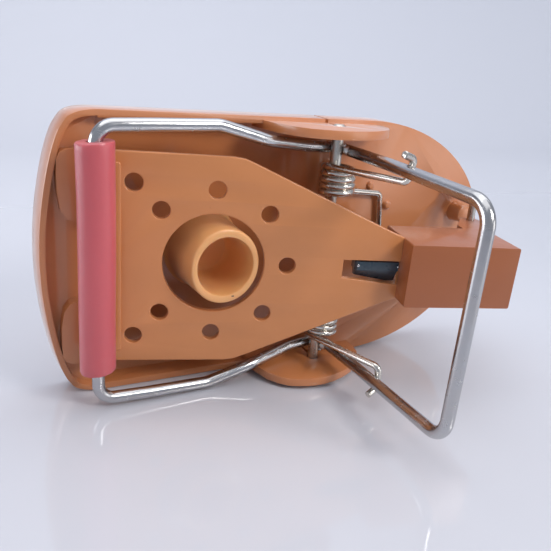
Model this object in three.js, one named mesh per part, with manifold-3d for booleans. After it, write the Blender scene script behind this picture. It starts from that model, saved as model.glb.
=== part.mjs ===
// Spring-loaded snap trap with a perforated bait treadle, a closed wire striker
// bail and two torsion springs.  Units are millimetres, +Z is up.
//
// The trap lies on its flat underside as it does in use.  +X runs along the
// base from the striker bar towards the trigger block and +Y runs along the
// bail axle.  The pieces are drawn from the centre of the treadle's ring of
// holes; the finished model is moved so that its origin is on the underside,
// directly below the bail axle.  The bail is in its sprung (closed) position.
import * as THREE from 'three';
import { mergeVertices } from 'three/addons/utils/BufferGeometryUtils.js';
import Module from 'manifold-3d';

const wasm = await Module();
wasm.setup();

// ---------------------------------------------------------------- dimensions
const GAP = 0.3;                 // clearance between pieces that touch

// base tray
const BASE_H = 8.0;              // rim and rear deck height above the underside
const FLOOR_T = 1.8;             // tray floor thickness
const SHELF_Z = 5.0;             // raised floor under the striker bar
const PAD_Z = 8.6;               // top of the two striker pads
const WALL_T = 2.2;              // rim wall thickness
const DECK_T = 2.0;              // rear deck skin thickness
const BASE_OUTLINE = [           // half outline, y >= 0, from the front tip round to the rear tip
  [-42.5, 0], [-42.2, 7.6], [-41.4, 15.2], [-40.2, 22.4], [-38.6, 28.6], [-37.3, 32.4],
  [-35.3, 35.5], [-32.4, 37.1], [-28.6, 37.45], [15.2, 37.5],
];
const REAR_X = 52.0, REAR_A = 49.5, REAR_B = 37.5;   // half-elliptical rear end
for (let i = 0; i <= 10; i++) {
  const a = ((90 - i * 9) * Math.PI) / 180;
  BASE_OUTLINE.push([REAR_X + REAR_A * Math.cos(a), i === 10 ? 0 : REAR_B * Math.sin(a)]);
}
const POCKET_X1 = 28.8;          // rear end of the tray pocket
const HOLLOW_X0 = 48.0;          // front end of the hollow under the rear deck
const SHELF_X1 = -28.0;          // rear end of the raised floor

// bail axle and ears
const AXLE_X = 35.8, AXLE_Z = 14.7;
const WIRE_R = 1.62;             // bail and axle wire radius
const AXLE_HALF = 36.0;
const EAR_Y0 = 34.0, EAR_Y1 = 36.3;
const EAR_PROFILE = [
  [15.7, 1.2], [15.8, 6.4], [15.9, 9.5], [16.4, 14.5], [17.7, 19.4], [20.0, 22.9], [24.3, 25.9], [29.5, 27.3],
  [36.2, 26.9], [44.3, 23.8], [48.6, 20.4], [51.5, 16.1], [52.7, 10.0], [52.9, 6.4], [53.0, 1.2],
];
const EAR_SLIT_W = 1.0;

// treadle: plate, neck and trigger block are one moulding, tilted about Y
const TILT = THREE.MathUtils.degToRad(17.32);
const PLATE_Z = 17.37;           // top face height above the origin
const PLATE_T = 2.0;
const PLATE_HALF_W = 28.1;
const PLATE_U0 = -28.5;          // free (front) end
const PLATE_TAPER_U = 6.3;       // start of the taper
const NECK_U = 51.6, NECK_HALF_W = 8.85;
const OPENING_R = 13.4;          // round opening the bait cup stands in
const HOLE_R = 2.29, HOLE_RING_R = 19.6, CORNER_HOLE = 20.6;
const BLOCK_U1 = 82.9, BLOCK_HALF_W = 8.85, BLOCK_TOP = 6.8, BLOCK_BOTTOM = -13.0, BLOCK_WALL = 2.0;
const SLOT = [[35.1, 2.1], [52.6, 2.0], [52.6, -4.9], [50.0, -4.7], [35.1, -3.05]];

// treadle pivot
const PIVOT_X = 86.5, PIVOT_Z = 19.4, PIVOT_R = 1.15, PIVOT_HALF = 17.6;
const LUG_Y0 = 15.2, LUG_Y1 = 17.3, LUG_R = 2.6;
const BOSS_R = 3.4;
const POST_X = 90.4, POST_Y = 9.0, POST_R = 3.1, POST_TOP = 13.0;   // rest posts on the deck

// bait cup
const CUP_X = 2.2, CUP_TOP = 20.4, CUP_R_TOP = 9.5, CUP_R_BOTTOM = 10.2, CUP_BORE_R = 7.7, CUP_OVAL = 1.05;

// striker sleeve
const BAR_X = -30.0, BAR_Z = 17.2, BAR_HALF = 34.7;
const SLEEVE_R = 4.42, SLEEVE_BORE = 1.95, SLEEVE_LEN = 57.2, SLEEVE_Y = 2.6;

// torsion springs
const SPRING_WIRE_R = 0.94, COIL_R = 4.2, COIL_X = 36.8, COIL_Z = 15.4;
const COIL_Y0 = 17.8, COIL_Y1 = 25.3;

// trigger catch, pivoting inside the block
const CATCH_U = 74.0, CATCH_OFF = -2.0, CATCH_PIN_R = 0.95, CATCH_PIN_HALF = 7.5;

// ------------------------------------------------------------------- helpers
function solid(geometry) {
  const g = geometry.index ? geometry.clone() : geometry;
  g.deleteAttribute('normal');
  g.deleteAttribute('uv');
  const m = mergeVertices(g, 1e-4);
  return new wasm.Manifold(new wasm.Mesh({
    numProp: 3,
    vertProperties: new Float32Array(m.attributes.position.array),
    triVerts: new Uint32Array(m.index.array),
  }));
}
function geometryOf(manifold) {
  const mesh = manifold.getMesh();
  const g = new THREE.BufferGeometry();
  g.setAttribute('position', new THREE.BufferAttribute(new Float32Array(mesh.vertProperties), 3));
  g.setIndex(new THREE.BufferAttribute(new Uint32Array(mesh.triVerts), 1));
  g.computeVertexNormals();
  return g;
}
function shapeOf(points, holes = []) {
  const s = new THREE.Shape(points.map(([x, y]) => new THREE.Vector2(x, y)));
  for (const h of holes) s.holes.push(new THREE.Path(h.map(([x, y]) => new THREE.Vector2(x, y))));
  return s;
}
function prismZ(points, z0, z1, holes = []) {
  const g = new THREE.ExtrudeGeometry(shapeOf(points, holes), { depth: z1 - z0, bevelEnabled: false, curveSegments: 12 });
  g.translate(0, 0, z0);
  return g;
}
// prism of an outline drawn in X and Z, standing between y0 and y1
function prismY(points, y0, y1) {
  const g = new THREE.ExtrudeGeometry(shapeOf(points), { depth: y1 - y0, bevelEnabled: false });
  g.rotateX(Math.PI / 2);          // outline y becomes z, depth becomes -y
  g.translate(0, y1, 0);
  return g;
}
function box(x0, x1, y0, y1, z0, z1) {
  const g = new THREE.BoxGeometry(x1 - x0, y1 - y0, z1 - z0);
  g.translate((x0 + x1) / 2, (y0 + y1) / 2, (z0 + z1) / 2);
  return g;
}
function cylinderY(r, y0, y1, x, z, n = 16) {
  const g = new THREE.CylinderGeometry(r, r, y1 - y0, n);
  g.translate(x, (y0 + y1) / 2, z);
  return g;
}
function cylinderZ(r0, r1, z0, z1, x, y, n = 16) {
  const g = new THREE.CylinderGeometry(r1, r0, z1 - z0, n);
  g.rotateX(Math.PI / 2);
  g.translate(x, y, (z0 + z1) / 2);
  return g;
}
function circle(x, y, r, n, start = 0) {
  const p = [];
  for (let i = 0; i < n; i++) {
    const a = start + (2 * Math.PI * i) / n;
    p.push([x + r * Math.cos(a), y + r * Math.sin(a)]);
  }
  return p;
}
function roundedRect(x0, x1, y0, y1, r, n = 4) {
  const p = [];
  const corners = [[x1 - r, y1 - r, 0], [x0 + r, y1 - r, 90], [x0 + r, y0 + r, 180], [x1 - r, y0 + r, 270]];
  for (const [cx, cy, a0] of corners) {
    for (let i = 0; i <= n; i++) {
      const a = THREE.MathUtils.degToRad(a0 + (90 * i) / n);
      p.push([cx + r * Math.cos(a), cy + r * Math.sin(a)]);
    }
  }
  return p;
}
// full outline, counter-clockwise, from a half outline with y >= 0 that goes from -x to +x
function mirrored(half) {
  const lower = half.map(([x, y]) => [x, -y]);
  const upper = half.slice(1, -1).reverse();
  return lower.concat(upper);
}
// moves every point of a closed outline inwards along its normal
function inset(points, d) {
  const n = points.length;
  return points.map((p, i) => {
    const a = points[(i + n - 1) % n], b = points[(i + 1) % n];
    const tx = b[0] - a[0], ty = b[1] - a[1], l = Math.hypot(tx, ty);
    return [p[0] - (ty / l) * d, p[1] + (tx / l) * d];
  });
}
function clipX(points, x0, x1) {
  const out = [];
  const n = points.length;
  const inside = (p) => p[0] >= x0 && p[0] <= x1;
  for (let i = 0; i < n; i++) {
    const p = points[i], q = points[(i + 1) % n];
    if (inside(p)) out.push(p);
    for (const c of (q[0] > p[0] ? [x0, x1] : [x1, x0])) {
      if ((p[0] - c) * (q[0] - c) < 0) {
        const t = (c - p[0]) / (q[0] - p[0]);
        out.push([c, p[1] + t * (q[1] - p[1])]);
      }
    }
  }
  return out;
}
// a curve that visits given points, one step per point, so bends can be sampled finely
class Route extends THREE.Curve {
  constructor(points) { super(); this.points = points; }
  getPoint(t, target = new THREE.Vector3()) {
    const s = t * (this.points.length - 1);
    const i = Math.min(Math.floor(s), this.points.length - 2);
    return target.lerpVectors(this.points[i], this.points[i + 1], s - i);
  }
  getPointAt(u, target) { return this.getPoint(u, target); }
  getTangent(t, target = new THREE.Vector3()) {
    const n = this.points.length - 1;
    const i = Math.round(t * n);
    const a = this.points[Math.max(i - 1, 0)], b = this.points[Math.min(i + 1, n)];
    return target.subVectors(b, a).normalize();
  }
  getTangentAt(u, target) { return this.getTangent(u, target); }
}
function wire(points, r, sides) {
  const path = new Route(points);
  const section = new THREE.Shape(circle(0, 0, r, sides, Math.PI / sides).map(([x, y]) => new THREE.Vector2(x, y)));
  return new THREE.ExtrudeGeometry(section, { steps: points.length - 1, extrudePath: path, bevelEnabled: false });
}
// rounds the corners of a polyline: each entry is [x, y, z, bend radius]
function bentWire(corners, perBend = 5) {
  const out = [];
  const v = corners.map(([x, y, z]) => new THREE.Vector3(x, y, z));
  out.push(v[0].clone());
  for (let i = 1; i < v.length - 1; i++) {
    const r = corners[i][3] || 0;
    const d1 = v[i - 1].clone().sub(v[i]).normalize();
    const d2 = v[i + 1].clone().sub(v[i]).normalize();
    const ang = d1.angleTo(d2);
    if (r <= 0 || ang > 3.1) { out.push(v[i].clone()); continue; }
    const t = r / Math.tan(ang / 2);
    const p1 = v[i].clone().addScaledVector(d1, t);
    const bis = d1.clone().add(d2).normalize();
    const c = v[i].clone().addScaledVector(bis, r / Math.sin(ang / 2));
    const a = p1.clone().sub(c).normalize();
    const p2 = v[i].clone().addScaledVector(d2, t);
    const b = p2.clone().sub(c).normalize();
    const sweep = a.angleTo(b);
    const steps = Math.max(2, Math.round((perBend * sweep) / (Math.PI / 2)));
    for (let k = 0; k <= steps; k++) {
      const f = k / steps;
      const w1 = Math.sin((1 - f) * sweep) / Math.sin(sweep), w2 = Math.sin(f * sweep) / Math.sin(sweep);
      out.push(c.clone().addScaledVector(a, r * w1).addScaledVector(b, r * w2));
    }
  }
  out.push(v[v.length - 1].clone());
  return out;
}
function material(color, roughness, metalness) {
  return new THREE.MeshStandardMaterial({ color, roughness, metalness });
}
const plastic = () => material(0xb8784f, 0.45, 0.0);
const plasticPale = () => material(0xc68a5c, 0.45, 0.0);
const steel = () => material(0xb9babd, 0.28, 1.0);
const springSteel = () => material(0xb0a89c, 0.3, 1.0);
const rubber = () => material(0xbe555a, 0.55, 0.0);
const black = () => material(0x1e2229, 0.4, 0.2);

const model = new THREE.Group();
model.name = 'snap_trap';
function add(name, geometry, mat, parent = model) {
  const mesh = new THREE.Mesh(geometry, mat);
  mesh.name = name;
  parent.add(mesh);
  return mesh;
}

// ----------------------------------------------------------------- base tray
{
  const outline = mirrored(BASE_OUTLINE);
  const inner = inset(outline, WALL_T);
  let body = solid(prismZ(outline, 0, BASE_H));
  // tray pocket in front, with a raised floor under the striker bar
  body = body.subtract(solid(prismZ(clipX(inner, SHELF_X1, POCKET_X1), FLOOR_T, BASE_H + 1)));
  body = body.subtract(solid(prismZ(clipX(inner, -60, SHELF_X1 + 0.01), SHELF_Z, BASE_H + 1)));
  // the rear deck is a skin with a skirt, open underneath
  body = body.subtract(solid(prismZ(clipX(inner, HOLLOW_X0, 120), -1, BASE_H - DECK_T)));
  // striker pads
  for (const s of [1, -1]) {
    const y0 = Math.min(s * 10.6, s * 28.1), y1 = Math.max(s * 10.6, s * 28.1);
    body = body.add(solid(prismZ(roundedRect(-37.2, -28.6, y0, y1, 2.2), SHELF_Z - 1, PAD_Z)));
  }
  // ears that carry the bail axle, with the slit the axle is snapped in through
  for (const s of [1, -1]) {
    const y0 = Math.min(s * EAR_Y0, s * EAR_Y1), y1 = Math.max(s * EAR_Y0, s * EAR_Y1);
    body = body.add(solid(prismY(EAR_PROFILE, y0, y1)));
    body = body.subtract(solid(cylinderY(WIRE_R + GAP, y0 - 0.5, y1 + 2.5, AXLE_X, AXLE_Z, 20)));
    body = body.subtract(solid(box(AXLE_X - EAR_SLIT_W / 2, AXLE_X + EAR_SLIT_W / 2,
      Math.min(s * 33.5, s * 39), Math.max(s * 33.5, s * 39), -1, AXLE_Z)));
  }
  // lugs that carry the treadle pivot pin
  const lug = [[PIVOT_X - 3.4, 7.0], [PIVOT_X + 2.9, 7.0]];
  for (let i = 0; i <= 8; i++) {
    const a = THREE.MathUtils.degToRad(-10 + (200 * i) / 8);
    lug.push([PIVOT_X + LUG_R * Math.cos(a), PIVOT_Z + LUG_R * Math.sin(a)]);
  }
  for (const s of [1, -1]) {
    const y0 = Math.min(s * LUG_Y0, s * LUG_Y1), y1 = Math.max(s * LUG_Y0, s * LUG_Y1);
    body = body.add(solid(prismY(lug, y0, y1)));
    body = body.subtract(solid(cylinderY(PIVOT_R + GAP, y0 - 0.5, y1 + 0.5, PIVOT_X, PIVOT_Z, 16)));
    // rest post beside the block, and two small moulded bumps on the deck
    body = body.add(solid(cylinderZ(POST_R, POST_R - 0.3, BASE_H - 1, POST_TOP, POST_X, s * POST_Y, 14)));
    body = body.add(solid(cylinderZ(1.4, 1.0, BASE_H - 1, BASE_H + 1.0, 53.8, s * 18.1, 10)));
    body = body.add(solid(cylinderZ(1.6, 1.1, BASE_H - 1, BASE_H + 1.2, 61.1, s * 11.9, 10)));
  }
  add('base_tray', geometryOf(body), plastic());
}

// ------------------------------------------------------------------ bait cup
{
  const z0 = FLOOR_T + GAP;
  const profile = [
    [0, z0], [CUP_R_BOTTOM, z0], [CUP_R_BOTTOM - 0.1, 8], [CUP_R_TOP, CUP_TOP - 0.4], [CUP_R_TOP - 0.4, CUP_TOP],
    [CUP_BORE_R + 0.3, CUP_TOP], [CUP_BORE_R, CUP_TOP - 0.4], [CUP_BORE_R - 0.3, z0 + 2.6], [CUP_BORE_R - 1.2, z0 + 1.6], [0, z0 + 1.6],
  ].map(([r, z]) => new THREE.Vector2(r, z));
  const g = new THREE.LatheGeometry(profile, 32);
  g.rotateX(Math.PI / 2);
  g.scale(1, CUP_OVAL, 1);
  g.translate(CUP_X, 0, 0);
  add('bait_cup', geometryOf(solid(g)), plasticPale());
}

// --------------------------------------------- treadle, catch and their pins
const treadleFrame = new THREE.Group();
treadleFrame.position.set(0, 0, PLATE_Z);
treadleFrame.rotation.y = -TILT;
model.add(treadleFrame);
// the pivot pin's place in the tilted frame
const PIVOT_U = PIVOT_X * Math.cos(TILT) + (PIVOT_Z - PLATE_Z) * Math.sin(TILT);
const PIVOT_OFF = -PIVOT_X * Math.sin(TILT) + (PIVOT_Z - PLATE_Z) * Math.cos(TILT);
{
  const half = [[PLATE_U0, 0], [PLATE_U0, 26.4], [PLATE_U0 + 0.5, 27.6], [PLATE_U0 + 1.7, PLATE_HALF_W],
    [PLATE_TAPER_U - 2, PLATE_HALF_W], [PLATE_TAPER_U + 1, 27.5], [PLATE_TAPER_U + 3.6, 26.4],
    [NECK_U - 1.4, 9.3], [NECK_U + 2, NECK_HALF_W], [NECK_U + 2, 0]];
  const holes = [circle(0, 0, OPENING_R, 40)];
  for (const deg of [0, 45, 90, 135, 225, 270, 315]) {
    const a = THREE.MathUtils.degToRad(deg);
    holes.push(circle(HOLE_RING_R * Math.cos(a), HOLE_RING_R * Math.sin(a), HOLE_R, 14));
  }
  for (const s of [1, -1]) holes.push(circle(-CORNER_HOLE, s * CORNER_HOLE, HOLE_R, 14));
  let t = solid(prismZ(mirrored(half), -PLATE_T, 0, holes));
  // trigger block with an open underside, and its pivot boss
  t = t.add(solid(prismZ(roundedRect(NECK_U, BLOCK_U1, -BLOCK_HALF_W, BLOCK_HALF_W, 0.8, 2), BLOCK_BOTTOM, BLOCK_TOP)));
  const boss = [[BLOCK_U1 - 7.4, BLOCK_BOTTOM + 3], [BLOCK_U1 - 7.4, BLOCK_BOTTOM - 4]];
  for (let i = 0; i <= 8; i++) {
    const a = THREE.MathUtils.degToRad(190 + (180 * i) / 8);
    boss.push([PIVOT_U + BOSS_R * Math.cos(a), PIVOT_OFF + BOSS_R * Math.sin(a)]);
  }
  boss.push([BLOCK_U1 - 0.01, BLOCK_BOTTOM - 2], [BLOCK_U1 - 0.01, BLOCK_BOTTOM + 3]);
  t = t.add(solid(prismY(boss, -BLOCK_HALF_W, BLOCK_HALF_W)));
  t = t.subtract(solid(box(NECK_U + BLOCK_WALL, BLOCK_U1 - BLOCK_WALL, -BLOCK_HALF_W + BLOCK_WALL, BLOCK_HALF_W - BLOCK_WALL, -40, BLOCK_TOP - BLOCK_WALL)));
  t = t.subtract(solid(box(NECK_U + BLOCK_WALL, BLOCK_U1 + 8, -BLOCK_HALF_W + BLOCK_WALL, BLOCK_HALF_W - BLOCK_WALL, -40, BLOCK_BOTTOM - 1)));
  t = t.subtract(solid(cylinderY(PIVOT_R + GAP, -12, 12, PIVOT_U, PIVOT_OFF, 16)));
  // walls round the slot that the catch's tail lies in, open below
  let channel = solid(box(33.8, NECK_U + 1, -6.2, 3.4, -6.4, -1));
  channel = channel.subtract(solid(box(35.1, NECK_U + 2, -4.9, 2.1, -9.4, 1)));
  t = t.add(channel);
  // slot in the neck, running on through the block's front wall, and the nose window at the rear
  t = t.subtract(solid(prismZ(SLOT, -20, 0.5)));
  t = t.subtract(solid(box(NECK_U - 0.2, NECK_U + BLOCK_WALL + 0.2, -4.9, 2.0, -11, -0.6)));
  t = t.subtract(solid(box(BLOCK_U1 - BLOCK_WALL - 0.2, BLOCK_U1 + 0.5, -3.4, 3.4, -7.0, 3.2)));
  t = t.subtract(solid(cylinderY(CATCH_PIN_R + GAP, -CATCH_PIN_HALF - GAP, CATCH_PIN_HALF + GAP, CATCH_U, CATCH_OFF, 14)));
  add('treadle', geometryOf(t), plastic(), treadleFrame);
}
{
  // trigger catch: the tail lies in the neck slot, the nose looks out of the block's rear wall
  const side = [
    [39.0, -4.4], [70.6, -4.4], [72.2, -4.8], [74.4, -4.9], [76.4, -4.2], [82.0, -3.0], [85.6, -3.0], [86.0, -2.2],
    [84.8, 0.2], [82.6, 1.4], [76.0, 0.9], [72.0, 0.7], [53.4, -1.3], [41.0, -0.9], [39.0, -1.8],
  ];
  let c = solid(prismY(side, -2.6, 1.5));
  c = c.add(solid(prismY([[39.6, -4.3], [52.2, -4.3], [52.2, -1.2], [41.0, -0.8], [39.6, -1.6]], -4.1, -2.4)));
  // keep the tail inside the slot's slanting edge
  c = c.subtract(solid(prismZ([[30, -6], [30, -2.1], [35.1, -2.65], [50.0, -4.3], [56, -4.9], [56, -6]], -20, 20)));
  c = c.subtract(solid(cylinderY(CATCH_PIN_R + GAP, -6, 6, CATCH_U, CATCH_OFF, 14)));
  // groove for the spring wire
  c = c.subtract(solid(box(38.0, 53.0, -0.6, 2.0, -2.6, 2)));
  add('trigger_catch', geometryOf(c), black(), treadleFrame);

  const pin = cylinderY(CATCH_PIN_R, -CATCH_PIN_HALF, CATCH_PIN_HALF, CATCH_U, CATCH_OFF, 14);
  add('catch_pin', pin, steel(), treadleFrame);

  // thin wire spring lying on the tail with both ends turned up
  const pts = bentWire([[39.9, 0.45, -0.6], [39.9, 0.45, -1.9, 0.6], [51.4, 0.45, -1.9, 0.6], [51.4, 0.45, -0.5]], 3);
  add('catch_spring', wire(pts, 0.38, 6), steel(), treadleFrame);
}
add('treadle_pivot_pin', cylinderY(PIVOT_R, -PIVOT_HALF, PIVOT_HALF, PIVOT_X, PIVOT_Z, 16), steel());

// ------------------------------------------------- bail, axle, sleeve, springs
{
  // half of the bail, from the striker bar to the lever bar
  const a = AXLE_X, z = AXLE_Z;
  const side = (s) => [
    [BAR_X, s * BAR_HALF, BAR_Z, 4.4],
    [-17.0, s * 35.1, 16.9, 30],
    [0.5, s * 35.4, 16.5, 6],
    [13.5, s * 32.0, 16.3, 14],
    [a - 8.5, s * 30.3, z - 2.3, 12],
    [a + 3.9, s * 29.75, z - 4.0, 3.6],
    [a + 3.2, s * 29.2, z + 20, 20],
    [a + 1.0, s * 27.9, z + 56.8, 5.2],
  ];
  const corners = [[BAR_X, 0.2, BAR_Z], ...side(1), ...side(-1).reverse(), [BAR_X, -0.2, BAR_Z]];
  add('striker_bail', wire(bentWire(corners, 5), WIRE_R, 10), steel());
  add('bail_axle', cylinderY(WIRE_R, -AXLE_HALF, AXLE_HALF, AXLE_X, AXLE_Z, 20), steel());

  const h = SLEEVE_LEN / 2;
  const profile = [[SLEEVE_BORE, -h], [SLEEVE_R - 0.3, -h], [SLEEVE_R, -h + 0.3], [SLEEVE_R, h - 0.3], [SLEEVE_R - 0.3, h], [SLEEVE_BORE, h], [SLEEVE_BORE, -h]]
    .map(([r, y]) => new THREE.Vector2(r, y));
  const g = new THREE.LatheGeometry(profile, 24);
  g.translate(BAR_X, SLEEVE_Y, BAR_Z);
  add('striker_sleeve', geometryOf(solid(g)), rubber());
}
for (const s of [1, -1]) {
  // fixed leg on the deck, coil round the axle, moving leg up the bail arm with a hook round it
  const pts = bentWire([
    [58.6, s * 3.2, 9.5], [57.4, s * 15.4, 9.5, 2.0], [46.0, s * 17.0, 10.2, 6], [COIL_X + 1.2, s * COIL_Y0, COIL_Z - COIL_R],
  ], 4);
  const turns = 4.25, n = Math.round(turns * 14);
  for (let i = 1; i <= n; i++) {
    const f = i / n;
    const ang = -Math.PI / 2 - f * turns * 2 * Math.PI;   // clockwise in XZ from the bottom of the coil
    pts.push(new THREE.Vector3(COIL_X + COIL_R * Math.cos(ang), s * (COIL_Y0 + f * (COIL_Y1 - COIL_Y0)), COIL_Z + COIL_R * Math.sin(ang)));
  }
  const leg = bentWire([
    [COIL_X - COIL_R + 0.15, s * (COIL_Y1 + 0.1), COIL_Z + 1.5],
    [41.2, s * 25.8, 39.9, 1.6], [41.4, s * 32.4, 40.2, 1.5], [36.6, s * 32.6, 40.6],
  ], 4);
  for (const p of leg) pts.push(p);
  add(s > 0 ? 'torsion_spring_left' : 'torsion_spring_right', wire(pts, SPRING_WIRE_R, 8), springSteel());
}

model.position.x = -AXLE_X;
model.updateMatrixWorld(true);
export default model;
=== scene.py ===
import bpy, bmesh, math, random
from mathutils import Vector, Matrix


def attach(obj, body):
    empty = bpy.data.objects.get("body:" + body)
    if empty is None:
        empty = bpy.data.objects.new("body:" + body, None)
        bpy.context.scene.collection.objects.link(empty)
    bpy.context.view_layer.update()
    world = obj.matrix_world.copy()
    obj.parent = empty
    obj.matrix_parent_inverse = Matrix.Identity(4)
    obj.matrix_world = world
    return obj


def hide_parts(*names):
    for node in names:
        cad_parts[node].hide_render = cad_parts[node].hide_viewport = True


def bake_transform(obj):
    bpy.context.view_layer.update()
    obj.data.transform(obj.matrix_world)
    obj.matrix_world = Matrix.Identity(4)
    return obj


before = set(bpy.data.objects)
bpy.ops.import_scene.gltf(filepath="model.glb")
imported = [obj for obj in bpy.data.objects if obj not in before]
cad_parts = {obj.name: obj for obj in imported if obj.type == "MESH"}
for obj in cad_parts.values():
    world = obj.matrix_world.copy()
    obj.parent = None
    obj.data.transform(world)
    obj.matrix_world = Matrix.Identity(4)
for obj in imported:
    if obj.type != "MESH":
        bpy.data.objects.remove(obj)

random.seed(7)
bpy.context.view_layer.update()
MM = 0.001

# ------------------------------------------------------------------ dimensions
TAU = math.radians(17.32)
PU = Vector((math.cos(TAU), 0, math.sin(TAU)))
PN = Vector((-math.sin(TAU), 0, math.cos(TAU)))
P0 = Vector((-35.8, 0, 17.37))
PLATE = Matrix(((PU.x, 0, PN.x, P0.x), (0, 1, 0, 0), (PU.z, 0, PN.z, P0.z), (0, 0, 0, 1)))
AXLE_Z = 14.7
WIRE_R = 1.62
PIVOT = (50.7, 19.4)


# -------------------------------------------------------------------- geometry
class Part:
    """Gathers closed shells, in millimetres, into one mesh object."""

    def __init__(self, name, materials):
        self.name, self.materials = name, materials
        self.bm = bmesh.new()

    def add(self, bm2, slot=0, matrix=None):
        if matrix is not None:
            bm2.transform(matrix)
        if matrix is not None and matrix.determinant() < 0:
            bmesh.ops.reverse_faces(bm2, faces=bm2.faces)
        for f in bm2.faces:
            f.material_index = slot
        me = bpy.data.meshes.new("tmp")
        bm2.to_mesh(me)
        bm2.free()
        self.bm.from_mesh(me)
        bpy.data.meshes.remove(me)
        return self

    def done(self, angle=32):
        self.bm.normal_update()
        bmesh.ops.scale(self.bm, vec=(MM, MM, MM), verts=self.bm.verts)
        me = bpy.data.meshes.new(self.name)
        self.bm.to_mesh(me)
        self.bm.free()
        me.shade_smooth()
        me.set_sharp_from_angle(angle=math.radians(angle))
        for m in self.materials:
            me.materials.append(m)
        o = bpy.data.objects.new(self.name, me)
        bpy.context.collection.objects.link(o)
        return o


def outward(bm):
    bmesh.ops.recalc_face_normals(bm, faces=bm.faces)
    bm.normal_update()
    if bm.calc_volume(signed=True) < 0:
        bmesh.ops.reverse_faces(bm, faces=bm.faces)
        bm.normal_update()
    return bm


def bm_from(verts, faces):
    bm = bmesh.new()
    vs = [bm.verts.new(v) for v in verts]
    for f in faces:
        bm.faces.new([vs[i] for i in f])
    return outward(bm)


def prism(loops, z0, z1, bevel=0.0, res=2):
    """Extruded outline with holes, edges rounded by bevel, as a bmesh."""
    cu = bpy.data.curves.new("tmp", "CURVE")
    cu.dimensions = "2D"
    cu.fill_mode = "BOTH"
    cu.extrude = (z1 - z0) / 2 - bevel
    cu.bevel_depth = bevel
    cu.bevel_resolution = res
    cu.offset = -bevel
    for loop in loops:
        sp = cu.splines.new("POLY")
        sp.points.add(len(loop) - 1)
        for p, (x, y) in zip(sp.points, loop):
            p.co = (x, y, 0, 1)
        sp.use_cyclic_u = True
    o = bpy.data.objects.new("tmp", cu)
    bpy.context.collection.objects.link(o)
    bpy.context.view_layer.update()
    me = bpy.data.meshes.new_from_object(o.evaluated_get(bpy.context.evaluated_depsgraph_get()))
    bm = bmesh.new()
    bm.from_mesh(me)
    bpy.data.objects.remove(o)
    bpy.data.curves.remove(cu)
    bpy.data.meshes.remove(me)
    bmesh.ops.remove_doubles(bm, verts=bm.verts, dist=1e-3)
    bmesh.ops.translate(bm, vec=(0, 0, (z0 + z1) / 2), verts=bm.verts)
    return outward(bm)


# outline drawn in X and Z, standing between y0 and y1
def prism_y(loops, y0, y1, bevel=0.0, res=2):
    bm = prism(loops, y0, y1, bevel, res)
    m = Matrix(((1, 0, 0, 0), (0, 0, 1, 0), (0, 1, 0, 0), (0, 0, 0, 1)))
    bm.transform(m)
    return outward(bm)


def lathe(profile, n=48, axis="Z", at=(0, 0, 0), wobble=0.0):
    """Profile of (r, h) from one end to the other; both ends on the axis, or a closed ring profile."""
    closed = profile[0][0] > 1e-6
    verts, faces = [], []
    rings = []
    for k, (r, h) in enumerate(profile):
        if r < 1e-6:
            rings.append([len(verts)])
            verts.append((0, 0, h))
        else:
            ring = []
            for i in range(n):
                a = 2 * math.pi * i / n
                rr = r * (1 + wobble * math.sin(3 * a + h * 0.4))
                ring.append(len(verts))
                verts.append((rr * math.cos(a), rr * math.sin(a), h))
            rings.append(ring)
    pairs = list(zip(rings, rings[1:])) + ([(rings[-1], rings[0])] if closed else [])
    for a, b in pairs:
        if len(a) == 1 and len(b) == 1:
            continue
        for i in range(n):
            j = (i + 1) % n
            if len(a) == 1:
                faces.append((a[0], b[i], b[j]))
            elif len(b) == 1:
                faces.append((a[i], a[j], b[0]))
            else:
                faces.append((a[i], a[j], b[j], b[i]))
    bm = bm_from(verts, faces)
    if axis == "Y":
        bm.transform(Matrix.Rotation(-math.pi / 2, 4, "X"))
    elif axis == "X":
        bm.transform(Matrix.Rotation(math.pi / 2, 4, "Y"))
    bmesh.ops.translate(bm, vec=at, verts=bm.verts)
    return bm


def rod(r, y0, y1, x, z, c=0.25, n=40):
    return lathe([(0, y0), (r - c, y0), (r, y0 + c), (r, y1 - c), (r - c, y1), (0, y1)], n, "Y", (x, 0, z))


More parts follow.
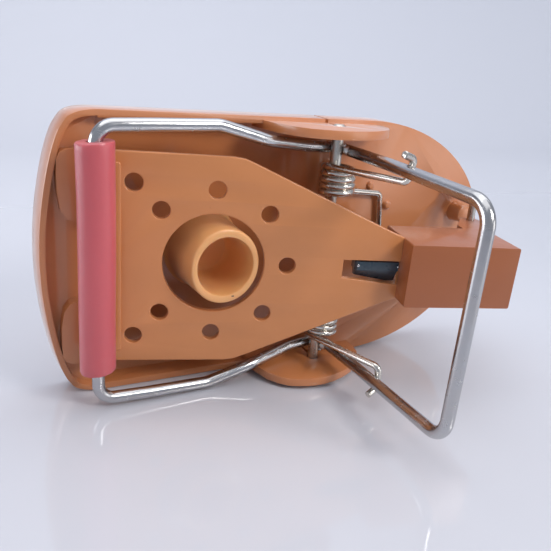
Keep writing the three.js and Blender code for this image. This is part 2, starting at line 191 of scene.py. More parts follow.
def tube(points, r, n=20, closed=False, cap=0.35):
    """Round wire through the points, with softened cut ends. r may be a function of the point's index."""
    pts = [Vector(p) for p in points]
    m = len(pts)
    rad = r if callable(r) else (lambda i: r)

    def tangent(i):
        if closed:
            return (pts[(i + 1) % m] - pts[(i - 1) % m]).normalized()
        return (pts[min(i + 1, m - 1)] - pts[max(i - 1, 0)]).normalized()

    t = tangent(0)
    nrm = t.orthogonal().normalized()
    frames = []
    for i in range(m):
        t2 = tangent(i)
        ax = t.cross(t2)
        if ax.length > 1e-9:
            nrm = (Matrix.Rotation(t.angle(t2), 3, ax.normalized()) @ nrm).normalized()
        nrm = (nrm - t2 * nrm.dot(t2)).normalized()
        frames.append((pts[i], t2, nrm.copy(), t2.cross(nrm)))
        t = t2
    if closed:      # spread the twist that is left over along the loop
        twist = frames[0][2].angle(frames[-1][2]) * (1 if frames[0][1].dot(frames[-1][2].cross(frames[0][2])) > 0 else -1)
    else:
        twist = 0.0
    verts, faces, rings = [], [], []

    def ring(c, nn, bb, rr, rot):
        ids = []
        for k in range(n):
            a = 2 * math.pi * k / n + rot
            ids.append(len(verts))
            verts.append(c + (nn * math.cos(a) + bb * math.sin(a)) * rr)
        return ids

    for i, (c, tt, nn, bb) in enumerate(frames):
        rings.append(ring(c, nn, bb, rad(i), twist * i / m))
    if not closed:
        c, tt, nn, bb = frames[0]
        first = ring(c - tt * cap * 0.6, nn, bb, rad(0) - cap, 0)
        rings.insert(0, first)
        c, tt, nn, bb = frames[-1]
        rings.append(ring(c + tt * cap * 0.6, nn, bb, rad(m - 1) - cap, 0))
        faces.append(tuple(reversed(rings[0])))
        faces.append(tuple(rings[-1]))
    pairs = list(zip(rings, rings[1:])) + ([(rings[-1], rings[0])] if closed else [])
    for a, b in pairs:
        for k in range(n):
            k2 = (k + 1) % n
            faces.append((a[k], a[k2], b[k2], b[k]))
    return bm_from(verts, faces)


def bent(corners, step=10.0):
    """Polyline with rounded corners: each entry is (x, y, z[, bend radius])."""
    v = [Vector(c[:3]) for c in corners]
    out = [v[0].copy()]
    for i in range(1, len(v) - 1):
        r = corners[i][3] if len(corners[i]) > 3 else 0
        d1, d2 = (v[i - 1] - v[i]).normalized(), (v[i + 1] - v[i]).normalized()
        ang = d1.angle(d2)
        if r <= 0 or ang > 3.12:
            out.append(v[i].copy())
            continue
        t = r / math.tan(ang / 2)
        t = min(t, 0.49 * (v[i - 1] - v[i]).length, 0.49 * (v[i + 1] - v[i]).length)
        r = t * math.tan(ang / 2)
        p1, p2 = v[i] + d1 * t, v[i] + d2 * t
        c = v[i] + (d1 + d2).normalized() * (r / math.sin(ang / 2))
        a, b = (p1 - c).normalized(), (p2 - c).normalized()
        sweep = a.angle(b)
        steps = max(3, int(round(math.degrees(sweep) / step)))
        for k in range(steps + 1):
            f = k / steps
            w1, w2 = math.sin((1 - f) * sweep) / math.sin(sweep), math.sin(f * sweep) / math.sin(sweep)
            out.append(c + (a * w1 + b * w2) * r)
    out.append(v[-1].copy())
    fine = [out[0]]
    for p, q in zip(out, out[1:]):
        k = max(1, int((q - p).length / 3.0))
        for j in range(1, k + 1):
            fine.append(p.lerp(q, j / k))
    return fine


def circle(x, y, r, n=40):
    return [(x + r * math.cos(2 * math.pi * i / n), y + r * math.sin(2 * math.pi * i / n)) for i in range(n)]


def rrect(x0, x1, y0, y1, r, n=6):
    p = []
    for cx, cy, a0 in ((x1 - r, y1 - r, 0), (x0 + r, y1 - r, 90), (x0 + r, y0 + r, 180), (x1 - r, y0 + r, 270)):
        for i in range(n + 1):
            a = math.radians(a0 + 90 * i / n)
            p.append((cx + r * math.cos(a), cy + r * math.sin(a)))
    return p


def box(x0, x1, y0, y1, z0, z1):
    v = [(x, y, z) for x in (x0, x1) for y in (y0, y1) for z in (z0, z1)]
    return bm_from(v, [(0, 1, 3, 2), (4, 6, 7, 5), (0, 4, 5, 1), (2, 3, 7, 6), (0, 2, 6, 4), (1, 5, 7, 3)])


def temp(bm, name="tmp_solid"):
    me = bpy.data.meshes.new(name)
    bm.to_mesh(me)
    bm.free()
    o = bpy.data.objects.new(name, me)
    bpy.context.collection.objects.link(o)
    return o


def boolean(bm, ops):
    """ops is a list of ("UNION" or "DIFFERENCE", bmesh)."""
    base = temp(bm)
    others = []
    for k, (op, b) in enumerate(ops):
        t = temp(b)
        others.append(t)
        m = base.modifiers.new("b%d" % k, "BOOLEAN")
        m.operation, m.solver, m.object = op, "EXACT", t
    bpy.context.view_layer.update()
    me = bpy.data.meshes.new_from_object(base.evaluated_get(bpy.context.evaluated_depsgraph_get()))
    out = bmesh.new()
    out.from_mesh(me)
    for o in [base] + others:
        m2 = o.data
        bpy.data.objects.remove(o)
        bpy.data.meshes.remove(m2)
    bpy.data.meshes.remove(me)
    return out


def soften(bm, width=0.3, angle=38, segments=2):
    """Rounds the sharp edges of a solid that came out of a boolean."""
    bmesh.ops.remove_doubles(bm, verts=bm.verts, dist=0.01)
    bmesh.ops.dissolve_limit(bm, angle_limit=math.radians(1.0), verts=bm.verts, edges=bm.edges)
    o = temp(bm)
    m = o.modifiers.new("bevel", "BEVEL")
    m.width, m.segments, m.limit_method, m.angle_limit = width, segments, "ANGLE", math.radians(angle)
    m.use_clamp_overlap = True
    m.miter_outer = "MITER_ARC"
    bpy.context.view_layer.update()
    me = bpy.data.meshes.new_from_object(o.evaluated_get(bpy.context.evaluated_depsgraph_get()))
    out = bmesh.new()
    out.from_mesh(me)
    m2 = o.data
    bpy.data.objects.remove(o)
    bpy.data.meshes.remove(m2)
    bpy.data.meshes.remove(me)
    return out


# ------------------------------------------------------------------- materials
def nodes_of(name):
    m = bpy.data.materials.new(name)
    m.use_nodes = True
    nt = m.node_tree
    b = nt.nodes["Principled BSDF"]
    tc = nt.nodes.new("ShaderNodeTexCoord")
    return m, nt, b, tc


def noise(nt, tc, scale, detail=6, rough=0.55, stretch=(1, 1, 1)):
    mp = nt.nodes.new("ShaderNodeMapping")
    mp.inputs["Scale"].default_value = stretch
    nt.links.new(tc.outputs["Object"], mp.inputs["Vector"])
    n = nt.nodes.new("ShaderNodeTexNoise")
    n.inputs["Scale"].default_value = scale
    n.inputs["Detail"].default_value = detail
    n.inputs["Roughness"].default_value = rough
    nt.links.new(mp.outputs["Vector"], n.inputs["Vector"])
    return n


def ramp(nt, src, stops):
    r = nt.nodes.new("ShaderNodeValToRGB")
    e = r.color_ramp.elements
    while len(e) < len(stops):
        e.new(0.5)
    for el, (p, c) in zip(e, stops):
        el.position = p
        el.color = (c[0], c[1], c[2], 1) if hasattr(c, "__len__") else (c, c, c, 1)
    nt.links.new(src, r.inputs["Fac"])
    return r


def plastic(name, base, rough=0.42, vary=0.06, scratch=0.35, dirt=0.5, sss=0.0):
    """Moulded plastic: uneven tint, fine grain, faint scuffs and a little handling dirt."""
    m, nt, b, tc = nodes_of(name)
    L = nt.links.new
    lo = tuple(c * (1 - vary) for c in base)
    hi = tuple(min(1, c * (1 + vary)) for c in base)
    big = noise(nt, tc, 38, 5)
    tint = ramp(nt, big.outputs["Fac"], [(0.3, lo), (0.7, hi)])
    dust = noise(nt, tc, 900, 3, 0.7)
    dm = ramp(nt, dust.outputs["Fac"], [(0.66, 0.0), (0.78, dirt)])
    mix = nt.nodes.new("ShaderNodeMix")
    mix.data_type = "RGBA"
    L(dm.outputs["Color"], mix.inputs["Factor"])
    L(tint.outputs["Color"], mix.inputs[6])
    mix.inputs[7].default_value = (base[0] * 0.82, base[1] * 0.78, base[2] * 0.78, 1)
    L(mix.outputs[2], b.inputs["Base Color"])
    rn = noise(nt, tc, 160, 6, 0.6)
    rr = ramp(nt, rn.outputs["Fac"], [(0.3, rough - 0.06), (0.75, rough + 0.1)])
    L(rr.outputs["Color"], b.inputs["Roughness"])
    sc = noise(nt, tc, 240, 8, 0.7, (0.35, 5.0, 1.0))
    sm = ramp(nt, sc.outputs["Fac"], [(0.62, 0.0), (0.66, scratch)])
    grain = noise(nt, tc, 2600, 2, 0.5)
    b1 = nt.nodes.new("ShaderNodeBump")
    b1.inputs["Strength"].default_value = 0.09
    b1.inputs["Distance"].default_value = 0.00004
    L(grain.outputs["Fac"], b1.inputs["Height"])
    b2 = nt.nodes.new("ShaderNodeBump")
    b2.inputs["Strength"].default_value = 0.12
    b2.inputs["Distance"].default_value = 0.00003
    b2.invert = True
    L(sm.outputs["Color"], b2.inputs["Height"])
    L(b1.outputs["Normal"], b2.inputs["Normal"])
    wave = noise(nt, tc, 60, 3, 0.4)
    b3 = nt.nodes.new("ShaderNodeBump")
    b3.inputs["Strength"].default_value = 0.25
    b3.inputs["Distance"].default_value = 0.00025
    L(wave.outputs["Fac"], b3.inputs["Height"])
    L(b2.outputs["Normal"], b3.inputs["Normal"])
    L(b3.outputs["Normal"], b.inputs["Normal"])
    b.inputs["IOR"].default_value = 1.5
    b.inputs["Coat Weight"].default_value = 0.55
    b.inputs["Coat Roughness"].default_value = 0.2
    b.inputs["Sheen Weight"].default_value = 0.12
    b.inputs["Sheen Roughness"].default_value = 0.4
    if sss:
        b.inputs["Subsurface Weight"].default_value = sss
        b.inputs["Subsurface Radius"].default_value = (1.0, 0.35, 0.2)
        b.inputs["Subsurface Scale"].default_value = 0.0012
    return m


def metal(name, base, rough=0.22, tarnish=(0.5, 0.4, 0.3), amount=0.25, along=(1, 1, 1), fine=900):
    """Drawn wire: bright metal with draw marks, uneven polish and a trace of tarnish."""
    m, nt, b, tc = nodes_of(name)
    L = nt.links.new
    big = noise(nt, tc, 130, 6, 0.65)
    tr = ramp(nt, big.outputs["Fac"], [(0.45, base), (0.82, tuple(base[i] * (1 - amount) + tarnish[i] * amount for i in range(3)))])
    L(tr.outputs["Color"], b.inputs["Base Color"])
    b.inputs["Metallic"].default_value = 1.0
    rn = noise(nt, tc, 420, 6, 0.6, along)
    rr = ramp(nt, rn.outputs["Fac"], [(0.3, max(0.04, rough - 0.07)), (0.75, rough + 0.12)])
    L(rr.outputs["Color"], b.inputs["Roughness"])
    g = noise(nt, tc, fine, 4, 0.6, along)
    b1 = nt.nodes.new("ShaderNodeBump")
    b1.inputs["Strength"].default_value = 0.07
    b1.inputs["Distance"].default_value = 0.00005
    L(g.outputs["Fac"], b1.inputs["Height"])
    lump = noise(nt, tc, 150, 2, 0.4)
    b2 = nt.nodes.new("ShaderNodeBump")
    b2.inputs["Strength"].default_value = 0.08
    b2.inputs["Distance"].default_value = 0.00012
    L(lump.outputs["Fac"], b2.inputs["Height"])
    L(b1.outputs["Normal"], b2.inputs["Normal"])
    L(b2.outputs["Normal"], b.inputs["Normal"])
    return m


TERRA = (0.50, 0.205, 0.088)
M_BASE = plastic("terracotta_base", (0.52, 0.186, 0.062))
gloss = next(n for n in M_BASE.node_tree.nodes if n.type == "BSDF_PRINCIPLED")      # the base is the shinier moulding
gloss.inputs["Sheen Weight"].default_value = 0.55
gloss.inputs["Sheen Roughness"].default_value = 0.22
gloss.inputs["Coat Weight"].default_value = 0.9
M_TREADLE = plastic("terracotta_treadle", (0.565, 0.212, 0.068))
# the block's terracotta is the treadle's, darkened: painted shade for the light falling off across the block
M_BLOCK_PAINTED_SHADE = plastic("terracotta_block_painted_shade", (0.33, 0.088, 0.018))
# the cup's terracotta is lighter than the other mouldings: painted fill light that lifts the shade inside the cup
M_CUP_PAINTED_FILL = plastic("terracotta_cup_painted_fill", (0.76, 0.37, 0.135), rough=0.38, sss=0.15)
M_SLEEVE = plastic("rose_sleeve", (0.52, 0.085, 0.10), rough=0.5, vary=0.05, scratch=0.25, dirt=0.35, sss=0.2)
M_WIRE = metal("drawn_wire", (0.50, 0.50, 0.51), 0.2)
M_AXLE = metal("axle_steel", (0.52, 0.50, 0.46), 0.26, along=(1, 0.2, 1))
M_SPRING = metal("spring_steel", (0.64, 0.61, 0.56), 0.22, tarnish=(0.34, 0.26, 0.19), amount=0.3)
M_WELD = metal("weld_bead", (0.62, 0.61, 0.6), 0.3, fine=400)
M_DARK = metal("weld_heat_tint", (0.16, 0.13, 0.12), 0.35)
M_BLACK = plastic("blackened_catch", (0.02, 0.042, 0.062), rough=0.3, vary=0.3, scratch=0.5)
M_SPECK = plastic("speck", (0.05, 0.03, 0.02), rough=0.6)

# ------------------------------------------------------------------------ base
HALF = [(-78.3, 0), (-78.05, 7.0), (-77.25, 14.6), (-76.0, 21.9), (-74.5, 28.0), (-73.1, 32.0), (-72.0, 34.0),
        (-70.5, 35.9), (-68.4, 36.95), (-65.8, 37.4), (-63.0, 37.5)]


def dense(pts, k):
    out = []
    for i in range(len(pts) - 1):
        p0 = pts[max(i - 1, 0)]
        p1, p2 = pts[i], pts[i + 1]
        p3 = pts[min(i + 2, len(pts) - 1)]
        for j in range(k):
            t = j / k
            out.append(tuple(0.5 * ((2 * p1[c]) + (-p0[c] + p2[c]) * t + (2 * p0[c] - 5 * p1[c] + 4 * p2[c] - p3[c]) * t * t
                                    + (-p0[c] + 3 * p1[c] - 3 * p2[c] + p3[c]) * t ** 3) for c in (0, 1)))
    out.append(pts[-1])
    return out


half = dense(HALF, 4) + [(-57.0, 37.5), (-40.0, 37.5), (-20.0, 37.5), (0.0, 37.5), (16.2, 37.5)]
for i in range(1, 25):
    a = math.radians(90 - i * 90 / 24)
    half.append((16.2 + 49.5 * math.cos(a), 37.5 * math.sin(a) if i < 24 else 0.0))
OUT = [(x, -y) for x, y in half] + [(x, y) for x, y in reversed(half[1:-1])]     # counter-clockwise


def inset(points, fn):
    n, out = len(points), []
    for i, p in enumerate(points):
        a, b = points[i - 1], points[(i + 1) % n]
        tx, ty = b[0] - a[0], b[1] - a[1]
        l = math.hypot(tx, ty)
        d = fn(p) if callable(fn) else fn
        out.append((p[0] - ty / l * d, p[1] + tx / l * d))
    return out


def draft(p):       # the front wall leans, the sides are almost upright
    f = min(1.0, max(0.0, (-62.0 - p[0]) / 10.0))
    return 0.2 + 0.5 * f * f * (3 - 2 * f)


def loft(loops):
    """loops: list of (outline, z); closes both ends."""
    n = len(loops[0][0])
    verts = [(x, y, z) for pts, z in loops for x, y in pts]
    faces = [tuple(reversed(range(n))), tuple(range((len(loops) - 1) * n, len(loops) * n))]
    for k in range(len(loops) - 1):
        for i in range(n):
            j = (i + 1) % n
            faces.append((k * n + i, k * n + j, (k + 1) * n + j, (k + 1) * n + i))
    return bm_from(verts, faces)


def clip_x(points, x0, x1):
    out, n = [], len(points)
    for i in range(n):
        p, q = points[i], points[(i + 1) % n]
        if x0 <= p[0] <= x1:
            out.append(p)
        for c in ((x0, x1) if q[0] > p[0] else (x1, x0)):
            if (p[0] - c) * (q[0] - c) < 0:
                t = (c - p[0]) / (q[0] - p[0])
                out.append((c, p[1] + t * (q[1] - p[1])))
    return out


TOP = inset(OUT, draft)
RIM_IN = inset(TOP, 1.45)
FLOOR_IN = inset(TOP, 1.9)
base = loft([(OUT, 0.0), (TOP, 8.0)])
ops = []
pocket = [(-63.4, 1.8), (-14.5, 1.8), (-12.0, 2.1), (-9.8, 3.0), (-8.0, 4.6), (-6.8, 6.4), (-5.6, 7.4), (-4.2, 8.0), (-4.2, 9.5), (-63.4, 9.5)]
ops.append(("DIFFERENCE", prism_y([pocket], -35.4, 35.4)))
ops.append(("DIFFERENCE", prism([clip_x(RIM_IN, -90, -63.3)], 5.0, 9.0)))
under = inset(OUT, 2.2)
ops.append(("DIFFERENCE", prism([clip_x(under, 12.2, 90)], -1.0, 6.0)))
for s in (1, -1):
    y0, y1 = sorted((s * 11.5, s * 27.8))
    pad = [(-64.2, s * 10.6), (-68.4, s * 10.4), (-70.8, s * 11.1), (-72.3, s * 13.2), (-73.0, s * 17.5), (-73.1, s * 22.0),
           (-72.9, s * 25.8), (-72.2, s * 27.3), (-70.9, s * 28.0), (-64.2, s * 28.3)]
    ops.append(("UNION", prism([pad], 4.0, 8.6)))
EAR = [(-20.2, 1.0), (-19.9, 9.0), (-19.4, 14.5), (-18.1, 19.4), (-15.8, 22.9), (-13.9, 24.7), (-11.5, 25.9), (-9.0, 26.8),
       (-6.3, 27.3), (-3.0, 27.45), (0.4, 26.9), (4.6, 25.6), (8.5, 23.8), (12.8, 20.4), (15.7, 16.1), (16.7, 12.0), (17.2, 1.0)]
for s in (1, -1):
    y0, y1 = sorted((s * 34.0, s * 36.3))
    ops.append(("UNION", prism_y([EAR], y0, y1)))
    ops.append(("DIFFERENCE", rod(1.78, y0 - 0.6, y1 + 3, 0, AXLE_Z, 0.0, 32)))
    yy0, yy1 = sorted((s * 33.4, s * 39.5))
    ops.append(("DIFFERENCE", box(-0.45, 0.45, yy0, yy1, -1, AXLE_Z)))
LUG = [(PIVOT[0] - 3.4, 7.0)]
for i in range(13):
    a = math.radians(190 - 200 * i / 12)
    LUG.append((PIVOT[0] + 2.5 * math.cos(a), PIVOT[1] + 2.5 * math.sin(a)))
LUG.append((PIVOT[0] + 2.9, 7.0))
for s in (1, -1):
    y0, y1 = sorted((s * 15.2, s * 17.3))
    ops.append(("UNION", prism_y([LUG], y0, y1)))
    ops.append(("DIFFERENCE", rod(1.27, y0 - 0.5, y1 + 0.5, PIVOT[0], PIVOT[1], 0.0, 28)))
base = boolean(base, ops)
base = soften(base, 0.32)
part = Part("base_moulding", [M_BASE])
part.add(base)
for s in (1, -1):
    part.add(lathe([(0, 7.5), (3.5, 7.5), (3.15, 8.7), (3.0, 11.6), (2.6, 12.6), (1.5, 13.1), (0, 13.2)], 36, "Z", (54.6, s * 9.0, 0)))
    part.add(lathe([(0, 7.6), (1.35, 7.6), (1.25, 8.5), (0.8, 9.0), (0, 9.15)], 24, "Z", (18.0, s * 18.1, 0)))
    part.add(lathe([(0, 7.6), (1.5, 7.6), (1.4, 8.6), (0.95, 9.15), (0, 9.3)], 24, "Z", (25.3, s * 11.9, 0)))
o = part.done(34)
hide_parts("base_tray"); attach(o, "base")

# ------------------------------------------------------------------- bait cup
prof = [(0, 1.9), (11.2, 1.9), (10.9, 2.2), (10.45, 2.9), (10.2, 4.2), (10.05, 8.0), (9.72, 14.0), (9.5, 19.9), (9.36, 20.25),
        (9.1, 20.4), (8.2, 20.4), (7.92, 20.28), (7.78, 19.95), (7.6, 14.0), (7.4, 7.0), (7.1, 5.0), (6.3, 4.2), (0, 4.0)]
part = Part("bait_cup_moulding", [M_CUP_PAINTED_FILL, M_SPECK])
cup = lathe(prof, 72, "Z", (0, 0, 0))
for v in cup.verts:      # a little wider across than along, more so outside than inside
    r = math.hypot(v.co.x, v.co.y)
    outer = min(1.0, max(0.0, (r - 7.9) / 1.2))
    v.co.y *= 1.02 + 0.05 * outer
part.add(cup, 0, Matrix.Translation((-33.6, 0, 0)))
sp = bmesh.new()
bmesh.ops.create_icosphere(sp, subdivisions=2, radius=0.26)
bmesh.ops.scale(sp, vec=(1.6, 0.7, 0.3), verts=sp.verts)
part.add(sp, 1, Matrix.Translation((-31.2, -8.35, 20.4)))
o = part.done(40)
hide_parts("bait_cup"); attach(o, "base")

# --------------------------------------------------------------------- treadle
def arc(cx, cy, r, a0, a1, n):
    return [(cx + r * math.cos(math.radians(a0 + (a1 - a0) * i / n)), cy + r * math.sin(math.radians(a0 + (a1 - a0) * i / n))) for i in range(n + 1)]


up = [(-28.5, 0), (-28.5, 26.3)] + arc(-26.7, 26.3, 1.8, 180, 90, 6)[1:] + [(-10, 28.1), (3.6, 28.1), (6.6, 27.75), (9.6, 26.6), (20.0, 22.2),
      (34.0, 16.25), (46.6, 10.9), (49.6, 9.7), (51.4, 9.1), (52.2, 8.6), (53.2, 7.6), (53.2, 0)]
outline = [(u, -y) for u, y in up] + [(u, y) for u, y in reversed(up[1:-1])]
holes = [circle(0, 0, 13.4, 96)]
for d in (0, 45, 90, 135, 225, 270, 315):
    holes.append(circle(19.6 * math.cos(math.radians(d)), 19.6 * math.sin(math.radians(d)), 2.3, 36))
for s in (1, -1):
    holes.append(circle(-20.6, s * 20.6, 2.3, 36))
SLOT = [(35.2, 2.1), (35.2, -3.05), (51.5, -4.9), (51.5, 2.0)]
holes.append(SLOT)
part = Part("treadle_moulding", [M_TREADLE, M_BLOCK_PAINTED_SHADE])
part.add(prism([outline] + holes, -2.0, 0.0, 0.26, 3), 0, PLATE)
ridge = prism([rrect(-25.3, -23.7, -25.0, 25.4, 0.7, 5)], -0.4, 0.42, 0.3, 3)
part.add(ridge, 0, PLATE)
# block: open underneath, boss for the pivot pin at its rear
blk = prism([rrect(51.5, 82.9, -8.85, 8.85, 0.5, 4)], -13.0, 6.8)
PIV = (PIVOT[0] + 35.8) * math.cos(TAU) + (PIVOT[1] - 17.37) * math.sin(TAU), -(PIVOT[0] + 35.8) * math.sin(TAU) + (PIVOT[1] - 17.37) * math.cos(TAU)
bs = [(75.5, -10.0), (75.5, -17.0)] + [(PIV[0] + 3.3 * math.cos(math.radians(a)), PIV[1] + 3.3 * math.sin(math.radians(a))) for a in range(190, 371, 15)] + [(82.85, -15.0), (82.85, -10.0)]
ops = [("UNION", prism_y([bs], -8.85, 8.85)),
       ("DIFFERENCE", box(53.5, 80.9, -6.85, 6.85, -45, 4.8)),
       ("DIFFERENCE", box(53.5, 95.0, -6.85, 6.85, -45, -14.0)),
       ("DIFFERENCE", rod(1.27, -12, 12, PIV[0], PIV[1], 0.0, 28)),
       ("DIFFERENCE", rod(1.05, -7.8, 7.8, 74.0, -2.0, 0.0, 24)),
       ("DIFFERENCE", box(51.0, 54.0, -4.9, 2.0, -11.0, -0.5)),
       ("DIFFERENCE", box(80.5, 83.5, -3.4, 3.4, -7.0, 3.2))]
blk = soften(boolean(blk, ops), 0.38, 38, 3)
part.add(blk, 1, PLATE)
# walls round the slot that the catch's tail lies in, open below
ch = boolean(box(33.8, 52.4, -6.2, 3.4, -6.4, -1.0), [("DIFFERENCE", box(35.1, 54.0, -4.95, 2.15, -9.4, 1.0))])
part.add(soften(ch, 0.2, 38, 2), 0, PLATE)
o = part.done(34)
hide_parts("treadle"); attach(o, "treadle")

# --------------------------------------------------------------- trigger catch
part = Part("catch_lever", [M_BLACK])
tail = [(39.0, -4.6), (39.0, -1.7), (39.6, -1.0), (41.0, -0.75), (50.5, -0.75), (72.0, 0.7), (76.0, 0.9), (82.6, 1.4), (84.8, 0.2), (86.0, -2.2),
        (85.6, -3.0), (82.0, -3.0), (76.4, -4.2), (74.4, -4.9), (72.2, -4.8), (70.6, -4.6)]
part.add(prism_y([tail], -1.15, 1.55, 0.22, 2), 0, PLATE)
wedge_v = []
for (u, yb) in ((39.3, -2.95), (49.0, -4.62), (51.4, -4.6)):
    wedge_v.append([(u, -0.95, -0.85), (u, yb, -2.7), (u, yb, -4.4), (u, -0.95, -4.4)])
vs = [v for ring in wedge_v for v in ring]
fs = [(3, 2, 1, 0), (8, 9, 10, 11)]
for k in (0, 1):
    for i in range(4):
        j = (i + 1) % 4
        fs.append((4 * k + i, 4 * k + j, 4 * k + 4 + j, 4 * k + 4 + i))
part.add(soften(bm_from(vs, fs), 0.25, 30, 2), 0, PLATE)
o = part.done(34)
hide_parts("trigger_catch"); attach(o, "catch")

part = Part("catch_rivet", [M_AXLE])
part.add(rod(0.95, -7.5, 7.5, 74.0, -2.0, 0.2, 28), 0, PLATE)
o = part.done()
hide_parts("catch_pin"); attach(o, "treadle")

part = Part("catch_wire", [M_WIRE])
pts = bent([(39.6, 0.45, -0.2), (39.6, 0.45, -0.62, 0.4), (51.2, 0.45, -0.62, 0.4), (51.2, 0.45, 0.0)], 15)
part.add(tube([pts[0], pts[1]], 0.36, 14, cap=0.12), 0, PLATE)
part.add(tube([pts[-2], pts[-1]], 0.36, 14, cap=0.12), 0, PLATE)
o = part.done()
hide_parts("catch_spring"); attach(o, "catch")

part = Part("pivot_pin", [M_AXLE])
part.add(rod(1.15, -17.6, 17.6, PIVOT[0], PIVOT[1], 0.3, 36))
o = part.done()
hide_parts("treadle_pivot_pin"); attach(o, "base")

# ---------------------------------------------------------- bail, axle, sleeve
def side(s):
    return [(-65.8, s * 34.7, 17.2, 4.4), (-53.0, s * 35.15, 17.0, 30), (-35.6, s * 35.5, 16.5, 7), (-22.0, s * 32.0, 16.35, 14),
            (-8.5, s * 30.35, 12.5, 12), (3.9, s * 29.75, 10.7, 3.6), (3.3, s * 29.2, 34.7, 20), (1.0, s * 27.9, 71.5, 5.4)]


loop = bent([(-65.8, 0.2, 17.2)] + side(1) + side(-1)[::-1] + [(-65.8, -0.2, 17.2)], 7.5)
part = Part("bail_wire", [M_WIRE, M_WELD, M_DARK])
part.add(tube(loop, WIRE_R, 28, closed=True))
for s in (1, -1):      # weld beads where each arm crosses the axle
    for (x, y, z, r, sx) in ((2.2, 30.0, 16.3, 0.95, (1.2, 1.3, 0.8)), (2.5, 29.2, 13.2, 0.9, (1.1, 1.2, 0.9)), (1.5, 31.2, 15.9, 0.55, (1, 1, 1))):
        b = bmesh.new()
        bmesh.ops.create_icosphere(b, subdivisions=3, radius=r)
        bmesh.ops.scale(b, vec=sx, verts=b.verts)
        for v in b.verts:
            v.co *= 1 + 0.10 * math.sin(7 * v.co.x + 5 * v.co.y) * math.cos(6 * v.co.z)
        part.add(b, 1, Matrix.Translation((x, s * y, z)))
o = part.done(40)
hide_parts("striker_bail"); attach(o, "bail")

part = Part("axle_rod", [M_AXLE])
part.add(rod(WIRE_R, -36.6, 36.6, 0, AXLE_Z, 0.35, 44))
o = part.done()
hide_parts("bail_axle"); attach(o, "bail")

# sleeve: cut tube, a little out of round, with slightly flared cut ends
R, Rb, h = 4.42, 1.9, 28.6
prof = [(Rb, -h), (R - 0.45, -h), (R - 0.12, -h + 0.12), (R + 0.02, -h + 0.5), (R, -h + 2), (R - 0.03, -h / 2), (R, 0), (R - 0.02, h / 2), (R, h - 2),
        (R + 0.02, h - 0.5), (R - 0.12, h - 0.12), (R - 0.45, h), (Rb, h), (Rb, 0)]
rings = []
bm = lathe(prof, 64, "Y", (0, 0, 0))
for v in bm.verts:
    y = v.co.y
    v.co.x += 0.10 * math.sin(y * 0.11 + 0.6)
    v.co.z += 0.06 * math.sin(y * 0.17)
    if abs(y) > h - 0.6:      # hand-cut ends aren't square
        v.co.y += 0.10 * v.co.x + 0.05 * math.sin(5 * v.co.z)
part = Part("soft_sleeve", [M_SLEEVE])
part.add(bm, 0, Matrix.Translation((-65.8, 2.6, 17.2)))
o = part.done(45)
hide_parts("striker_sleeve"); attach(o, "bail")

# -------------------------------------------------------------- torsion springs
for s, name in ((1, "left"), (-1, "right")):
    CX, CZ, CR, WR = 1.0, 15.4, 4.2, 0.94
    y_in, y_out = 17.7, 25.3
    pts = bent([(22.6, s * 3.0, 9.4), (21.0, s * 15.9, 9.4, 1.7), (10.5, s * 16.9, 9.9, 6), (CX + 0.8, s * y_in, CZ - CR)], 10)
    turns = 4.25
    n = int(turns * 30)
    for i in range(1, n + 1):
        f = i / n
        a = -math.pi / 2 - f * turns * 2 * math.pi
        rr = CR * (1 + 0.012 * math.sin(f * 17))
        pts.append(Vector((CX + rr * math.cos(a), s * (y_in + f * (y_out - y_in)), CZ + rr * math.sin(a))))
    leg = bent([(CX - CR + 0.12, s * (y_out + 0.1), CZ + 1.4), (5.3, s * 25.75, 39.9, 1.5), (5.7, s * 31.7, 40.5, 1.5), (1.8, s * 32.9, 41.5)], 10)
    pts += leg
    part = Part("coil_spring_" + name, [M_SPRING])
    part.add(tube(pts, WR, 18, cap=0.22))
    o = part.done(45)
    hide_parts("torsion_spring_" + name)
    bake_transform(o)

# ----------------------------------------------------------------- stage, light
def plain(name, color, rough, spec=0.5, coat=0.0):
    m, nt, b, tc = nodes_of(name)
    b.inputs["Base Color"].default_value = (*color, 1)
    b.inputs["Roughness"].default_value = rough
    b.inputs["Specular IOR Level"].default_value = spec
    b.inputs["Coat Weight"].default_value = coat
    b.inputs["Coat Roughness"].default_value = 0.08
    return m


# the trap is photographed standing on its long edge: a pale sweep under that edge and behind
FLOOR_Y = -37.6
prof = [(600.0, FLOOR_Y)]
prof += [(z, FLOOR_Y) for z in (300, 0, -200, -420)]
for i in range(1, 13):
    a = math.radians(90 * i / 12)
    prof.append((-420 - 260 * math.sin(a), FLOOR_Y + 260 * (1 - math.cos(a))))
prof += [(-680, 500), (-680, 900)]
verts, faces = [], []
for z, y in prof:
    verts += [(-1300, y, z), (1500, y, z)]
for i in range(len(prof) - 1):
    faces.append((2 * i, 2 * i + 1, 2 * i + 3, 2 * i + 2))
bm = bmesh.new()
vs = [bm.verts.new(v) for v in verts]
for f in faces:
    bm.faces.new([vs[i] for i in f])
bm.normal_update()
SW = plain("sweep_white", (0.55, 0.56, 0.61), 0.06, 0.6)
nt = SW.node_tree      # polished where the trap stands, matt up the back
tcs = nt.nodes.new("ShaderNodeTexCoord")
sep = nt.nodes.new("ShaderNodeSeparateXYZ")
nt.links.new(tcs.outputs["Object"], sep.inputs[0])
for socket, near, far in (("Roughness", 0.06, 0.75), ("Specular IOR Level", 0.6, 0.05)):
    mr = nt.nodes.new("ShaderNodeMapRange")
    mr.inputs["From Min"].default_value = -0.12
    mr.inputs["From Max"].default_value = -0.38
    mr.inputs["To Min"].default_value = near
    mr.inputs["To Max"].default_value = far
    nt.links.new(sep.outputs["Z"], mr.inputs["Value"])
    nt.links.new(mr.outputs["Result"], next(n for n in nt.nodes if n.type == "BSDF_PRINCIPLED").inputs[socket])
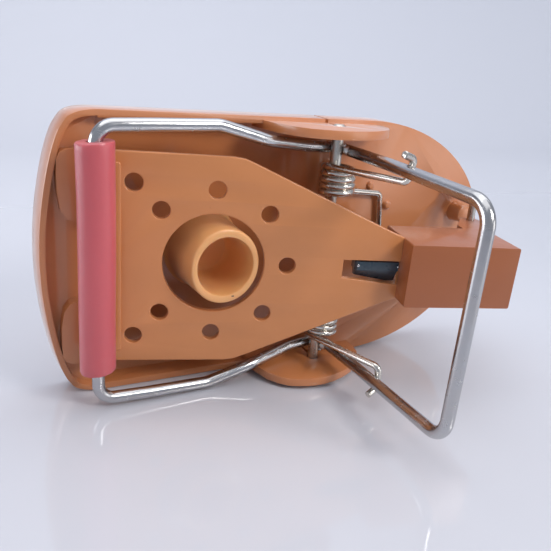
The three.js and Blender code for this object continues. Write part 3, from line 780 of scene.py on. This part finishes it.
# one-sided, so the long side resting on it can be seen from beyond it
shader = next(n for n in nt.nodes if n.type == "BSDF_PRINCIPLED")
geo = nt.nodes.new("ShaderNodeNewGeometry")
clear = nt.nodes.new("ShaderNodeBsdfTransparent")
pick = nt.nodes.new("ShaderNodeMixShader")
nt.links.new(geo.outputs["Backfacing"], pick.inputs[0])
nt.links.new(shader.outputs[0], pick.inputs[1])
nt.links.new(clear.outputs[0], pick.inputs[2])
nt.links.new(pick.outputs[0], next(n for n in nt.nodes if n.type == "OUTPUT_MATERIAL").inputs["Surface"])
part = Part("sweep", [SW])
part.add(bm)
floor = part.done(60)


def area(name, loc, target, size, power, color=(1, 1, 1), size_y=None):
    d = bpy.data.lights.new(name, "AREA")
    d.shape = "RECTANGLE"
    d.size = size
    d.size_y = size_y or size
    d.energy = power
    d.color = color
    o = bpy.data.objects.new(name, d)
    bpy.context.collection.objects.link(o)
    o.location = loc
    o.rotation_euler = (Vector(target) - Vector(loc)).to_track_quat("-Z", "Y").to_euler()
    o.visible_camera = False
    return o


k = area("key_front", (0.20, 0.30, 0.41), (-0.055, 0.018, 0.015), 0.16, 0.31, (1.0, 0.975, 0.95))
k.data.spread = math.radians(80)
area("top_soft", (-0.05, 0.60, 0.12), (0.0, 0, 0.02), 0.75, 1.3, (1.0, 0.99, 0.98), 0.5)
area("left_low", (-0.55, 0.03, -0.20), (-0.08, 0, 0.0), 0.35, 2.0, (0.97, 0.97, 1.0), 0.5)
area("right_fill", (0.42, -0.02, 0.38), (0.02, -0.01, 0.0), 0.3, 0.45, (1.0, 0.98, 0.96))
area("back_wash", (0.15, 0.62, -0.3), (0.25, 0.15, -0.68), 0.9, 3.5, (0.95, 0.97, 1.0))
area("right_wash", (1.1, 0.5, 0.0), (0.5, 0.35, -0.68), 0.9, 4.5, (0.95, 0.97, 1.0)).visible_glossy = False

w = bpy.data.worlds.new("studio")
bpy.context.scene.world = w
w.use_nodes = True
w.node_tree.nodes["Background"].inputs["Color"].default_value = (0.62, 0.66, 0.76, 1)
w.node_tree.nodes["Background"].inputs["Strength"].default_value = 0.62

cam = bpy.data.cameras.new("camera")
cam.sensor_width = 36.0
cam.lens = 36.0 * 603.93 / 551.0
cam.clip_start, cam.clip_end = 0.005, 20
co = bpy.data.objects.new("camera", cam)
bpy.context.collection.objects.link(co)
R0 = Vector((0.8861013, 0.0844834, 0.4557270))
R1 = Vector((-0.0819039, -0.9392325, 0.3333679))
R2 = Vector((0.4561976, -0.3327235, -0.8253355))
up_, back = -R1, -R2
co.matrix_world = Matrix(((R0.x, up_.x, back.x, -0.09397), (R0.y, up_.y, back.y, 0.05122), (R0.z, up_.z, back.z, 0.15635), (0, 0, 0, 1)))
bpy.context.scene.camera = co
bpy.context.scene.view_settings.view_transform = "Standard"
bpy.context.scene.view_settings.look = "None"
